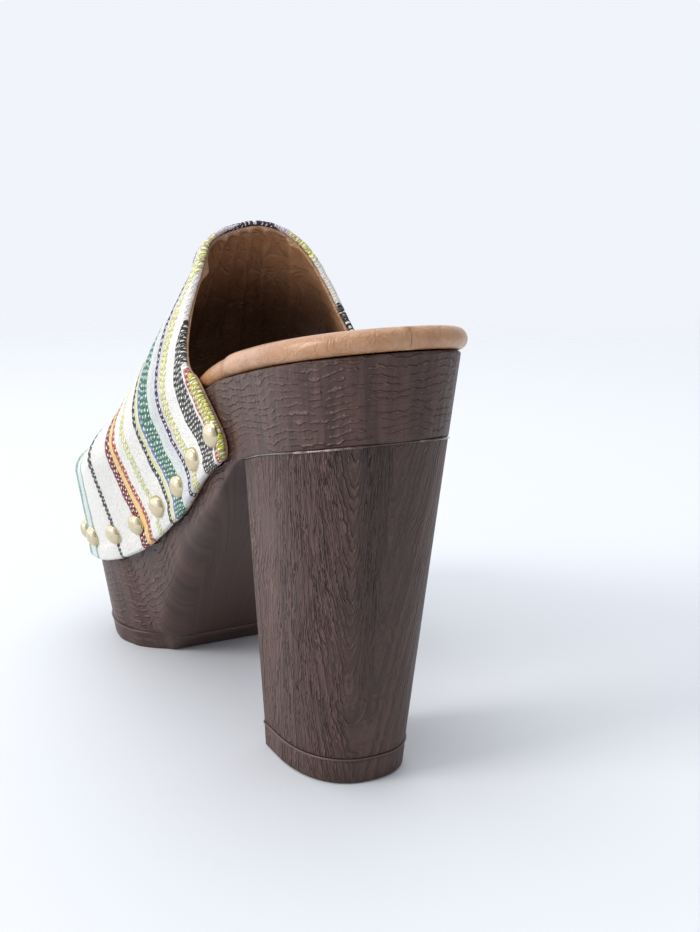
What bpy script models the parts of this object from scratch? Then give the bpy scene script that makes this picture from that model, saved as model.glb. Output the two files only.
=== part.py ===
"""Platform mule sandal, left foot: wood-effect platform sole, block heel, footbed, woven upper and studs.

Metres. +X points to the toe, +Y to the outer side of the foot, +Z up. The pieces are modelled with
the floor at z = 0, the seat's middle line at y = 0 and the back end of the sole at x = 0. At the
end the whole shoe is moved so that the middle of its box, on the floor, is the world's origin.
"""
import math

import bpy
import bmesh
from mathutils import Matrix, Vector

# Driving sizes of the last
FOOT_LENGTH = 0.221        # back of the footbed to its toe, measured along the floor
BALL_WIDTH = 0.086         # widest place of the sole's top face
SEAT_WIDTH = 0.0576        # top face of the sole under the heel of the foot
HEEL_HEIGHT = 0.1303       # floor to the top face of the sole at the very back
PLATFORM_HEIGHT = 0.0465   # floor to the top face of the sole under the toes
INSTEP_HEIGHT = 0.0730     # top face of the sole to the inside of the upper at the collar's crest
TOE_BOX_HEIGHT = 0.0300    # the same at the front edge of the upper

# Sole, outsole and footbed
SEAT_DEPTH = 0.0248        # thickness of the sole between footbed and heel
SEAT_LEAN = 0.0030         # how far the seat's sides lean in down to the heel
BACK_LEAN = 0.0033         # how far the back of the seat leans in
BALL_LEAN = 0.0073         # how far the platform's sides lean in down to the floor
TOE_LEAN = 0.0085          # how far the toe of the tread lies behind the toe of the footbed
TOE_SPRING = 0.0045        # rise of the tread at the toe
OUTSOLE_THICKNESS = 0.0065
OUTSOLE_LIP = 0.0004       # the outsole stands out this far round the platform
EDGE_CHAMFER = 0.0009      # softened edges of the moulded pieces
FOOTBED_THICKNESS = 0.0064
FOOTBED_OVERHANG = 0.0018  # rolled edge past the sole, on the open seat
FOOTBED_DISH = 0.0012      # hollow of the footbed's middle

# Heel
HEEL_FOOT_BACK = 0.0188    # back of the heel at the floor, from the back of the footbed
HEEL_FOOT_LENGTH = 0.0380
HEEL_FOOT_WIDTH = 0.0370
HEEL_TOP_LENGTH = 0.0506
SEAM_LIP = 0.0006          # the sole stands out this far over the heel at their seam
TOP_PIECE_THICKNESS = 0.0080
TOP_PIECE_LIP = 0.0003

# Upper and its studs
UPPER_WALL = 0.0026        # cloth, stiffener and leather lining together
COLLAR_CREST = 0.112       # place of the collar's highest point along the foot
COLLAR_CORNER = 0.0575     # place of the upper's rear corners
TOE_EDGE_CREST = 0.190     # place of the front edge on top of the toes
TOE_EDGE_CORNER = 0.206    # place of the upper's front corners
CORNER_ROUND = 0.0060      # rounding of the four corners
STUDS_EACH_SIDE = 8
STUD_DIAMETER = 0.0080
STUD_HEIGHT = 0.0026
STUD_ABOVE_EDGE = 0.0096   # middle of a stud above the upper's lower edge
STUD_FIRST = 0.0655        # place of the rear stud
STUD_LAST = 0.1870         # place of the front stud

FIT_GAP = 0.0003           # clearance between pieces that touch
WELD = 1e-6

# Rounding of the ends: how far each reaches along the foot, and its power (2 is an ellipse)
SEAT_REACH = 0.0317
SEAT_POWER = 2.3
TOE_REACH = 0.056
TOE_POWER = 2.3
HEEL_REACH = 0.0265
HEEL_POWER = 2.4

# Sole, a row for each place along the foot.
# place: share of FOOT_LENGTH. side: middle line, share of BALL_WIDTH. spread: half width from
# SEAT_WIDTH (0) to BALL_WIDTH (1). rise: top face from PLATFORM_HEIGHT (0) to HEEL_HEIGHT (1).
# tread_side: middle line of the underside, share of BALL_WIDTH. tread_spread: its half width, from
# the seat's (0) to the ball's (1), each with its lean taken off. under: underside, share of the
# heel seam's height.
SOLE_COLUMNS = ("place", "side", "spread", "rise", "tread_side", "tread_spread", "under")
SOLE_ROWS = (
    (0.000, 0.000, 0.00, 1.000, 0.000, 0.00, 1.000),
    (0.246, 0.000, 0.00, 0.862, 0.000, 0.00, 0.886),
    (0.340, -0.004, -0.02, 0.788, 0.004, -0.03, 0.722),
    (0.407, -0.006, 0.02, 0.690, 0.004, -0.07, 0.600),
    (0.475, -0.012, 0.15, 0.556, -0.008, -0.10, 0.468),
    (0.543, -0.020, 0.38, 0.405, -0.020, -0.11, 0.322),
    (0.611, -0.042, 0.66, 0.258, -0.040, -0.10, 0.160),
    (0.661, -0.056, 0.84, 0.160, -0.052, -0.16, 0.030),
    (0.679, -0.060, 0.89, 0.130, -0.056, -0.21, 0.000),
    (0.704, -0.063, 0.94, 0.088, -0.058, 0.22, 0.000),
    (0.733, -0.066, 0.98, 0.052, -0.062, 0.63, 0.000),
    (0.783, -0.070, 1.00, 0.016, -0.067, 0.94, 0.000),
    (0.850, -0.078, 0.99, 0.000, -0.075, 1.00, 0.000),
    (0.925, -0.096, 0.96, 0.010, -0.092, 0.95, 0.000),
    (1.000, -0.122, 0.92, 0.040, -0.118, 0.87, 0.000),
)
PLACES_ALONG = 54          # sections of the sole
SIDE_LEVELS = 5            # levels up the sole's side

# Upper, a row for each place. crest: inside height above the sole's top face, from
# TOE_BOX_HEIGHT (0) to INSTEP_HEIGHT (1). lean: crest's shift to the inner side, share of BALL_WIDTH.
# shoulder: how far the side runs on straight above the sole's top face, share of TOE_BOX_HEIGHT.
# side_pull and crown_pull: fullness of the arch at its side and at its crest (0.55 is an ellipse).
# hem: depth of the lower edge below the sole's top face, share of SEAT_DEPTH.
# outer_full: how far the arch's crown swells to the outer side, share of BALL_WIDTH.
# inner_full: added to side_pull on the inner side.
UPPER_COLUMNS = (
    "place", "crest", "lean", "shoulder", "side_pull", "crown_pull", "hem", "outer_full", "inner_full"
)
UPPER_ROWS = (
    (0.240, 0.20, 0.012, 0.16, 0.38, 0.42, 0.90, 0.000, 0.00),
    (0.340, 0.30, 0.034, 0.18, 0.28, 0.46, 1.12, 0.000, 0.10),
    (0.430, 0.66, 0.052, 0.22, 0.27, 0.46, 1.26, 0.000, 0.13),
    (0.507, 1.00, 0.060, 0.34, 0.29, 0.46, 1.12, 0.042, 0.14),
    (0.580, 0.86, 0.056, 0.42, 0.30, 0.38, 0.97, 0.036, 0.10),
    (0.650, 0.56, 0.046, 0.54, 0.35, 0.37, 0.78, 0.020, 0.05),
    (0.720, 0.34, 0.030, 0.66, 0.42, 0.48, 0.62, 0.006, 0.00),
    (0.790, 0.17, 0.020, 0.66, 0.46, 0.56, 0.56, 0.000, 0.00),
    (0.860, 0.00, 0.012, 0.62, 0.50, 0.60, 0.56, 0.000, 0.00),
    (0.940, -0.14, 0.006, 0.56, 0.50, 0.60, 0.56, 0.000, 0.00),
)
UPPER_ALONG = 28           # strips from collar to toe edge
SIDE_STRIPS = 7            # strips on each side, lower edge to shoulder
ARCH_STRIPS = 24           # strips over the foot, shoulder to shoulder


def column(columns, rows, name, place):
    """A table's column at any place, as a smooth curve through its rows."""
    at = columns.index(name)
    xs = [row[0] for row in rows]
    ys = [row[at] for row in rows]
    if place <= xs[0]:
        return ys[0]
    if place >= xs[-1]:
        return ys[-1]
    i = max(k for k in range(len(xs) - 1) if xs[k] <= place)
    slopes = [(ys[k + 1] - ys[k]) / (xs[k + 1] - xs[k]) for k in range(len(xs) - 1)]

    def tangent(k):
        if k == 0:
            return slopes[0]
        if k == len(xs) - 1:
            return slopes[-1]
        before, after = slopes[k - 1], slopes[k]
        if before * after <= 0.0:
            return 0.0
        return 2.0 * before * after / (before + after)

    step = xs[i + 1] - xs[i]
    t = (place - xs[i]) / step
    return (
        (2 * t ** 3 - 3 * t ** 2 + 1) * ys[i]
        + (t ** 3 - 2 * t ** 2 + t) * step * tangent(i)
        + (3 * t ** 2 - 2 * t ** 3) * ys[i + 1]
        + (t ** 3 - t ** 2) * step * tangent(i + 1)
    )


def mix(a, b, share):
    return a + (b - a) * share


def end_round(distance, reach, power):
    """Share of the full width at a distance from a rounded end."""
    inner = 1.0 - min(max(distance / reach, 0.0), 1.0)
    return (1.0 - inner ** power) ** (1.0 / power)


def sole_value(name, x):
    return column(SOLE_COLUMNS, SOLE_ROWS, name, x / FOOT_LENGTH)


def upper_value(name, x):
    return column(UPPER_COLUMNS, UPPER_ROWS, name, x / FOOT_LENGTH)


def ends_share(x):
    """Both ends' rounding together."""
    seat = end_round(x, SEAT_REACH, SEAT_POWER)
    toe = end_round(FOOT_LENGTH - x, TOE_REACH, TOE_POWER)
    return seat * toe


def top_height(x):
    return mix(PLATFORM_HEIGHT, HEEL_HEIGHT, sole_value("rise", x))


def under_height(x):
    """Underside of sole and outsole together: heel seam, arch, tread and toe spring."""
    seam = (HEEL_HEIGHT - SEAT_DEPTH) * sole_value("under", x)
    toe = max(0.0, (x - (FOOT_LENGTH - TOE_REACH / 2)) / (TOE_REACH / 2))
    return seam + TOE_SPRING * toe ** 2


def top_edge(x, side, out=0.0):
    """Edge of the sole's top face. side is 1 for the outer side of the foot and -1 for the inner."""
    half = mix(SEAT_WIDTH, BALL_WIDTH, sole_value("spread", x)) / 2 + out
    y = sole_value("side", x) * BALL_WIDTH + side * half * ends_share(x)
    return Vector((x, y, top_height(x)))


def under_half(x):
    """Half width of the underside, before its ends are rounded."""
    seat = SEAT_WIDTH / 2 - SEAT_LEAN
    ball = BALL_WIDTH / 2 - BALL_LEAN
    return mix(seat, ball, sole_value("tread_spread", x))


def under_edge(x, side, out=0.0):
    """Edge of the underside, below the same place."""
    back = BACK_LEAN * (1.0 - min(x / SEAT_REACH, 1.0))
    toe_start = FOOT_LENGTH - TOE_REACH
    toe = TOE_LEAN * max(0.0, (x - toe_start) / TOE_REACH)
    half = under_half(x) + out
    y = sole_value("tread_side", x) * BALL_WIDTH + side * half * ends_share(x)
    return Vector((x + back - toe, y, under_height(x)))


def side_point(x, side, height, out=0.0):
    """Point on the sole's side, or on the line that carries it on upwards, at a height.

    out moves it straight away from the side, level with the floor.
    """
    low = under_edge(x, side)
    high = top_edge(x, side)
    point = low.lerp(high, (height - low.z) / (high.z - low.z))
    if out:
        point += side_out(x, side) * out
    return point


def side_out(x, side):
    """Level direction away from the sole's side."""
    step = FOOT_LENGTH / 400
    ahead = top_edge(min(x + step, FOOT_LENGTH - WELD), side)
    behind = top_edge(max(x - step, WELD), side)
    along = ahead - behind
    return Vector((along.y * -side, along.x * side, 0.0)).normalized()


def places(start, end, count):
    """Places along the foot, closer together towards the rounded ends."""
    def spaced(x):
        seat = math.sqrt(min(x / SEAT_REACH, 1.0)) * SEAT_REACH
        toe = math.sqrt(min((FOOT_LENGTH - x) / TOE_REACH, 1.0)) * TOE_REACH
        return seat + max(x - SEAT_REACH, 0.0) - toe

    found = []
    for k in range(count + 1):
        goal = mix(spaced(start), spaced(end), k / count)
        low, high = start, end
        for _ in range(40):
            middle = (low + high) / 2
            if spaced(middle) < goal:
                low = middle
            else:
                high = middle
        found.append((low + high) / 2)
    found[0], found[-1] = start, end
    return found


def material(name, colour, roughness, metallic=0.0):
    made = bpy.data.materials.new(name)
    made.use_nodes = True
    shader = made.node_tree.nodes["Principled BSDF"]
    shader.inputs["Base Color"].default_value = (*colour, 1.0)
    shader.inputs["Roughness"].default_value = roughness
    shader.inputs["Metallic"].default_value = metallic
    return made


def add_object(name, bm, collection, finish, smooth_angle=35.0):
    """Weld a closed bmesh, turn its faces out and put it in the collection as one named object."""
    bmesh.ops.remove_doubles(bm, verts=bm.verts, dist=WELD)
    bmesh.ops.dissolve_degenerate(bm, dist=WELD, edges=bm.edges)
    bmesh.ops.recalc_face_normals(bm, faces=bm.faces)
    mesh = bpy.data.meshes.new(name)
    bm.to_mesh(mesh)
    bm.free()
    mesh.materials.append(finish)
    mesh.shade_smooth()
    mesh.set_sharp_from_angle(angle=math.radians(smooth_angle))
    made = bpy.data.objects.new(name, mesh)
    collection.objects.link(made)
    return made


def loft(bm, rings, close_ends=True):
    """Skin closed rings that have the same number of points, and cap the first and last."""
    rows = [[bm.verts.new(point) for point in ring] for ring in rings]
    count = len(rows[0])
    for lower, upper in zip(rows[:-1], rows[1:]):
        for k in range(count):
            after = (k + 1) % count
            bm.faces.new((lower[k], lower[after], upper[after], upper[k]))
    if close_ends:
        for row in (rows[0], rows[-1]):
            bmesh.ops.triangulate(bm, faces=[bm.faces.new(row)], ngon_method="BEAUTY")


def moulded_section(x, low, high, out=0.0):
    """Closed section of a moulded layer between two heights, edges softened."""
    chamfer = min(EDGE_CHAMFER, (high - low) / 3)
    levels = [mix(low + chamfer, high - chamfer, k / SIDE_LEVELS) for k in range(SIDE_LEVELS + 1)]

    def flank(side):
        points = [side_point(x, side, z, out) for z in [low] + levels + [high]]
        for end in (0, -1):
            points[end].y -= side * chamfer * ends_share(x)
        return points

    outer = flank(1)
    inner = flank(-1)
    top_middle = (outer[-1] + inner[-1]) / 2
    low_middle = (outer[0] + inner[0]) / 2
    return outer + [top_middle] + inner[::-1] + [low_middle]


def tread_start():
    """Place where the arch comes down to the top of the outsole."""
    low, high = FOOT_LENGTH * 0.5, FOOT_LENGTH * 0.75
    for _ in range(50):
        middle = (low + high) / 2
        if under_height(middle) > OUTSOLE_THICKNESS:
            low = middle
        else:
            high = middle
    return high


def outsole_top(x):
    """Top of the outsole, level with the floor up to the toe spring."""
    return OUTSOLE_THICKNESS + under_height(max(x, FOOT_LENGTH - TOE_REACH / 2))


def build_sole(collection, finish):
    bm = bmesh.new()
    start = tread_start()
    rings = []
    for x in sorted(places(0.0, FOOT_LENGTH, PLACES_ALONG) + [start]):
        low = under_height(x)
        if x >= start:
            low = outsole_top(x) + FIT_GAP
        rings.append(moulded_section(x, low, top_height(x)))
    loft(bm, rings, close_ends=False)
    return add_object("sole", bm, collection, finish)


def build_outsole(collection, finish):
    """Thin layer under the platform. Its rear face carries on the slope of the arch."""
    bm = bmesh.new()
    start = tread_start()
    flat = next(x for x in places(start, FOOT_LENGTH, 400) if under_height(x) <= WELD)
    rings = []
    for k, x in enumerate([start] + places(flat, FOOT_LENGTH, PLACES_ALONG // 2)):
        low = outsole_top(x) - EDGE_CHAMFER if k == 0 else under_height(x)
        rings.append(moulded_section(x, low, outsole_top(x), OUTSOLE_LIP * ends_share(x)))
    loft(bm, rings)
    return add_object("outsole", bm, collection, finish)


def footbed_out(x):
    """Overhang of the rolled edge: full on the open seat, none inside the upper."""
    covered = min(max((x - COLLAR_CORNER + CORNER_ROUND) / (2 * CORNER_ROUND), 0.0), 1.0)
    return mix(FOOTBED_OVERHANG, -FIT_GAP, covered)


def build_footbed(collection, finish):
    bm = bmesh.new()
    edge_steps = 5
    rings = []
    for x in places(0.0, FOOT_LENGTH, PLACES_ALONG - 8):
        base = top_height(x) + FIT_GAP
        radius = FOOTBED_THICKNESS / 2
        share = ends_share(x)
        flanks = {}
        for side in (1, -1):
            edge = top_edge(x, side)
            out = side_out(x, side)
            reach = footbed_out(x)
            points = []
            for k in range(edge_steps + 1):
                angle = mix(-math.pi / 2, math.pi / 2, k / edge_steps)
                swell = reach - radius + radius * math.cos(angle)
                point = edge + out * swell
                point.z = base + radius + radius * math.sin(angle)
                points.append(point)
            flanks[side] = points
        outer, inner = flanks[1], flanks[-1]
        across = []
        for k in (1, 2, 3):
            point = outer[-1].lerp(inner[-1], k / 4)
            point.z -= FOOTBED_DISH * share * math.sin(math.pi * k / 4)
            across.append(point)
        rings.append(outer + across + inner[::-1])
    loft(bm, rings, close_ends=True)
    return add_object("footbed", bm, collection, finish)


def d_outline(back, length, width, points=15):
    """Plan of the heel: rounded back, straight sides and a flat front, from outer to inner side."""
    half = width / 2
    reach = min(HEEL_REACH, length * 0.75)
    found = [(back + length, half * 0.94), (back + length - 0.0015, half * 0.985)]
    for k in range(points):
        angle = math.pi * k / (points - 1)
        x = back + reach * (1.0 - math.sin(angle) ** (2.0 / HEEL_POWER))
        y = half * math.copysign(abs(math.cos(angle)) ** (2.0 / HEEL_POWER), math.cos(angle))
        found.append((x, y))
    found += [(back + length - 0.0015, -half * 0.985), (back + length, -half * 0.94)]
    return found


def heel_ring(share):
    """Ring of the heel at a share of its height, from the floor (0) to the seam (1)."""
    seat_half = under_half(0.0) - SEAM_LIP
    foot = d_outline(HEEL_FOOT_BACK, HEEL_FOOT_LENGTH, HEEL_FOOT_WIDTH)
    head = d_outline(BACK_LEAN + SEAM_LIP, HEEL_TOP_LENGTH, 2 * seat_half)
    ring = []
    for (foot_x, foot_y), (head_x, head_y) in zip(foot, head):
        top = seam_height(head_x) - FIT_GAP
        ring.append(Vector((mix(foot_x, head_x, share), mix(foot_y, head_y, share), top * share)))
    return ring


def seam_height(x):
    return under_height(x - BACK_LEAN * (1.0 - min(x / SEAT_REACH, 1.0)))


def level_ring(height, out=0.0):
    """Level ring of the heel at a height above the floor, moved out by a little."""
    foot = heel_ring(0.0)
    head = heel_ring(1.0)
    middle = Vector((HEEL_FOOT_BACK + HEEL_FOOT_LENGTH / 2, 0.0, height))
    ring = []
    for low, high in zip(foot, head):
        point = low.lerp(high, height / high.z)
        away = (point - middle).normalized() * out
        ring.append(point + away)
    return ring


def build_heel(collection, finish):
    bm = bmesh.new()
    start = TOP_PIECE_THICKNESS + FIT_GAP
    rings = [level_ring(start, -EDGE_CHAMFER / 2)]
    low = level_ring(start + EDGE_CHAMFER)
    high = heel_ring(1.0)
    steps = 8
    for k in range(steps):
        rings.append([a.lerp(b, k / steps) for a, b in zip(low, high)])
    rings.append(high)
    loft(bm, rings)
    return add_object("heel", bm, collection, finish)


def build_top_piece(collection, finish):
    """Wear layer under the heel."""
    bm = bmesh.new()
    rings = [
        level_ring(0.0, TOP_PIECE_LIP - EDGE_CHAMFER),
        level_ring(EDGE_CHAMFER, TOP_PIECE_LIP),
        level_ring(TOP_PIECE_THICKNESS - EDGE_CHAMFER, TOP_PIECE_LIP),
        level_ring(TOP_PIECE_THICKNESS, TOP_PIECE_LIP - EDGE_CHAMFER),
    ]
    loft(bm, rings)
    return add_object("heel_top_piece", bm, collection, finish)


def hem_height(x):
    return top_height(x) - upper_value("hem", x) * SEAT_DEPTH


def shoulder_height(x):
    return top_height(x) + upper_value("shoulder", x) * TOE_BOX_HEIGHT


def arch_point(x, angle):
    """Inside of the upper over the foot, from its outer shoulder (0) to its inner shoulder (pi)."""
    side = 1 if angle <= math.pi / 2 else -1
    turn = angle if side == 1 else math.pi - angle
    share = turn / (math.pi / 2)
    outer = side_point(x, 1, shoulder_height(x), FIT_GAP)
    inner = side_point(x, -1, shoulder_height(x), FIT_GAP)
    height = mix(TOE_BOX_HEIGHT, INSTEP_HEIGHT, upper_value("crest", x))
    crest = (outer + inner) / 2
    crest.y -= upper_value("lean", x) * BALL_WIDTH
    crest.z = top_height(x) + height
    start = outer if side == 1 else inner
    rise = crest.z - start.z
    below = side_point(x, side, top_height(x), FIT_GAP)
    upward = (start - below).normalized()
    side_pull = upper_value("side_pull", x)
    crown_pull = upper_value("crown_pull", x)
    if side == -1:
        side_pull += upper_value("inner_full", x)
    first = start + upward * (rise * side_pull)
    second = crest.lerp(Vector((start.x, start.y, crest.z)), crown_pull)
    a, b = 1.0 - share, share
    point = start * a ** 3 + first * 3 * a * a * b + second * 3 * a * b * b + crest * b ** 3
    if side == 1:
        point.y += upper_value("outer_full", x) * BALL_WIDTH * crown_swell(share)
    return point


def crown_swell(share):
    """Soft hump over the outer half of the crown, from none at mid arch to none at its crest."""
    reach = min(max((share - 0.55) / 0.45, 0.0), 1.0)
    return math.sin(math.pi * reach) ** 2


def upper_point(along, around):
    """Inside of the upper. along runs from collar (0) to toe edge (1), around from the outer lower
    edge (0) over the foot to the inner lower edge (1)."""
    side_share = SIDE_STRIPS / (2 * SIDE_STRIPS + ARCH_STRIPS)
    from_edge = min(around, 1.0 - around)
    x = mix(collar_place(from_edge), toe_edge_place(from_edge), along)
    if from_edge >= side_share:
        angle = math.pi * (around - side_share) / (1.0 - 2 * side_share)
        return arch_point(x, angle)
    side = 1 if around < 0.5 else -1
    height = mix(hem_height(x), shoulder_height(x), from_edge / side_share)
    return side_point(x, side, height, FIT_GAP)


def corner_cut(from_edge):
    """How far the rounded corners stand back at a share from the lower edge."""
    corner = 0.075
    return CORNER_ROUND * (1.0 - end_round(from_edge, corner, 2.0))


def collar_place(from_edge):
    """Collar's place along the foot, from its rear corner up to its crest."""
    lift = math.sin(from_edge * math.pi) ** 1.5
    return mix(COLLAR_CORNER, COLLAR_CREST, lift) + corner_cut(from_edge)


def toe_edge_place(from_edge):
    lift = math.sin(from_edge * math.pi) ** 1.2
    return mix(TOE_EDGE_CORNER, TOE_EDGE_CREST, lift) - corner_cut(from_edge)


def build_upper(collection, finish):
    """Open tunnel over the foot, given its wall outwards by a Solidify modifier."""
    bm = bmesh.new()
    strips = 2 * SIDE_STRIPS + ARCH_STRIPS
    rows = []
    for i in range(UPPER_ALONG + 1):
        row = [upper_point(i / UPPER_ALONG, j / strips) for j in range(strips + 1)]
        rows.append([bm.verts.new(point) for point in row])
    for lower, upper in zip(rows[:-1], rows[1:]):
        for j in range(strips):
            bm.faces.new((lower[j], upper[j], upper[j + 1], lower[j + 1]))
    made = add_object("upper", bm, collection, finish, smooth_angle=60.0)
    if upper_faces_in(made):
        made.data.flip_normals()
    wall = made.modifiers.new("wall", "SOLIDIFY")
    wall.thickness = UPPER_WALL
    wall.offset = 1.0
    wall.use_even_offset = True
    return made


def upper_faces_in(made):
    """Whether the crest's faces point down into the shoe."""
    highest = max(made.data.polygons, key=lambda face: face.center.z)
    return highest.normal.z < 0.0


def stud_seat(x, side):
    """Point and outward direction on the outside of the upper where a stud sits."""
    height = hem_height(x) + STUD_ABOVE_EDGE
    point = side_point(x, side, height, FIT_GAP)
    step = 0.002
    along = side_point(x + step, side, height, FIT_GAP) - side_point(x - step, side, height, FIT_GAP)
    up = side_point(x, side, height + step, FIT_GAP) - point
    out = along.cross(up).normalized()
    if out.y * side < 0.0:
        out.negate()
    return point + out * (UPPER_WALL + FIT_GAP), out


def stud_places():
    """Even spacing along the lower edge of the upper."""
    samples = 200
    xs = [mix(STUD_FIRST, STUD_LAST, k / samples) for k in range(samples + 1)]
    points = [stud_seat(x, 1)[0] for x in xs]
    run = [0.0]
    for a, b in zip(points[:-1], points[1:]):
        run.append(run[-1] + (b - a).length)
    found = []
    for n in range(STUDS_EACH_SIDE):
        goal = run[-1] * n / (STUDS_EACH_SIDE - 1)
        found.append(min(zip(run, xs), key=lambda pair: abs(pair[0] - goal))[1])
    return found


def stud_mesh():
    """Domed head with a flat back, its middle axis along +Z."""
    bm = bmesh.new()
    radius = STUD_DIAMETER / 2
    segments = 12
    loops = []
    for latitude in (0.0, 25.0, 50.0, 74.0):
        ring_radius = radius * math.cos(math.radians(latitude))
        height = STUD_HEIGHT * math.sin(math.radians(latitude))
        loops.append([
            Matrix.Rotation(2 * math.pi * k / segments, 3, "Z") @ Vector((ring_radius, 0.0, height))
            for k in range(segments)
        ])
    loft(bm, loops)
    bmesh.ops.recalc_face_normals(bm, faces=bm.faces)
    mesh = bpy.data.meshes.new("stud")
    bm.to_mesh(mesh)
    bm.free()
    mesh.shade_smooth()
    mesh.set_sharp_from_angle(angle=math.radians(50.0))
    return mesh


def build_studs(collection, finish):
    mesh = stud_mesh()
    mesh.materials.append(finish)
    for side, label in ((1, "outer"), (-1, "inner")):
        for n, x in enumerate(stud_places(), start=1):
            seat, out = stud_seat(x, side)
            made = bpy.data.objects.new(f"stud_{label}_{n}", mesh)
            turn = out.to_track_quat("Z", "Y").to_matrix().to_4x4()
            made.matrix_world = Matrix.Translation(seat) @ turn
            collection.objects.link(made)


def centre_over_origin(collection):
    """Move the shoe so that the middle of its box, on the floor, is the world's origin."""
    bpy.context.view_layer.update()
    graph = bpy.context.evaluated_depsgraph_get()
    corners = []
    for made in collection.objects:
        solid = made.evaluated_get(graph).to_mesh()
        corners += [made.matrix_world @ vertex.co for vertex in solid.vertices]
    middle_x = (min(c.x for c in corners) + max(c.x for c in corners)) / 2
    middle_y = (min(c.y for c in corners) + max(c.y for c in corners)) / 2
    shift = Matrix.Translation((-middle_x, -middle_y, -min(c.z for c in corners)))
    for made in collection.objects:
        made.matrix_world = shift @ made.matrix_world


def main():
    for old in list(bpy.data.objects):
        bpy.data.objects.remove(old, do_unlink=True)
    collection = bpy.data.collections.new("platform_mule_sandal")
    bpy.context.scene.collection.children.link(collection)
    sole_finish = material("wood_effect_sole", (0.055, 0.030, 0.022), 0.55)
    heel_finish = material("wood_effect_heel", (0.075, 0.042, 0.032), 0.55)
    rubber = material("dark_rubber", (0.045, 0.026, 0.020), 0.60)
    tan = material("tan_leather", (0.300, 0.130, 0.055), 0.45)
    cloth = material("striped_cloth", (0.620, 0.600, 0.540), 0.85)
    gold = material("pale_gold", (0.780, 0.640, 0.400), 0.28, 1.0)
    build_sole(collection, sole_finish)
    build_outsole(collection, rubber)
    build_heel(collection, heel_finish)
    build_top_piece(collection, rubber)
    build_footbed(collection, tan)
    build_upper(collection, cloth)
    build_studs(collection, gold)
    centre_over_origin(collection)


main()
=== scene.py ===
"""Looks of the platform mule sandal: grained sole and heel, tan footbed, striped upper, gold studs.

Metres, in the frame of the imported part: +X to the toe, +Y to the outer side of the foot, +Z up. Lengths
along the foot are measured from the back of the footbed, as on the last, and moved by TO_FRAME at the end.
"""

import math

import bmesh
import bpy
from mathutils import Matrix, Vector, noise


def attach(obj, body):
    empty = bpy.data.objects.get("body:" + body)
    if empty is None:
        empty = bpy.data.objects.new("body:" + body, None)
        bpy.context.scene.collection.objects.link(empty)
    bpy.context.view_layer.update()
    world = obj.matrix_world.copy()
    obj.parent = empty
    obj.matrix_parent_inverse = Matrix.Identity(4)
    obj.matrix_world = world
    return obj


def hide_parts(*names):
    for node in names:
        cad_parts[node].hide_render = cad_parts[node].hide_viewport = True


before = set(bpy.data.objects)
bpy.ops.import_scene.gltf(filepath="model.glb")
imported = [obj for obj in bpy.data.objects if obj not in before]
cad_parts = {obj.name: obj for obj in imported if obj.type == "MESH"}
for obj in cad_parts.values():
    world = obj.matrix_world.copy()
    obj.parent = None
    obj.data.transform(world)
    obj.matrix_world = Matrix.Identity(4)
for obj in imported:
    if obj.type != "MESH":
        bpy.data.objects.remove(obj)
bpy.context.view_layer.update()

TO_FRAME = Vector((-0.10968, 0.00548, 0.0))  # from the last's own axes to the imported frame

# Sizes of the last and of the pieces, as in the part's source
FOOT_LENGTH = 0.221
BALL_WIDTH = 0.086
SEAT_WIDTH = 0.0576
HEEL_HEIGHT = 0.1303
PLATFORM_HEIGHT = 0.0465
INSTEP_HEIGHT = 0.0730
TOE_BOX_HEIGHT = 0.0300
SEAT_DEPTH = 0.0248
SEAT_LEAN = 0.0030
BACK_LEAN = 0.0033
BALL_LEAN = 0.0073
TOE_LEAN = 0.0085
TOE_SPRING = 0.0045
OUTSOLE_THICKNESS = 0.0065
FOOTBED_THICKNESS = 0.0064
FOOTBED_OVERHANG = 0.0018
FOOTBED_DISH = 0.0012
HEEL_FOOT_BACK = 0.0188
HEEL_FOOT_LENGTH = 0.0380
HEEL_FOOT_WIDTH = 0.0370
HEEL_TOP_LENGTH = 0.0506
SEAM_LIP = 0.0006
TOP_PIECE_THICKNESS = 0.0080
UPPER_WALL = 0.0026
COLLAR_CREST = 0.112
COLLAR_CORNER = 0.0575
TOE_EDGE_CREST = 0.190
TOE_EDGE_CORNER = 0.206
CORNER_ROUND = 0.0060
STUDS_EACH_SIDE = 8
STUD_DIAMETER = 0.0080
STUD_HEIGHT = 0.0030
STUD_ABOVE_EDGE = 0.0096
STUD_FIRST = 0.0655
STUD_LAST = 0.1870
FIT_GAP = 0.0003
WELD = 1e-6
SEAT_REACH, SEAT_POWER = 0.0317, 2.3
TOE_REACH, TOE_POWER = 0.056, 2.3
HEEL_REACH, HEEL_POWER = 0.0265, 2.4

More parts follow.
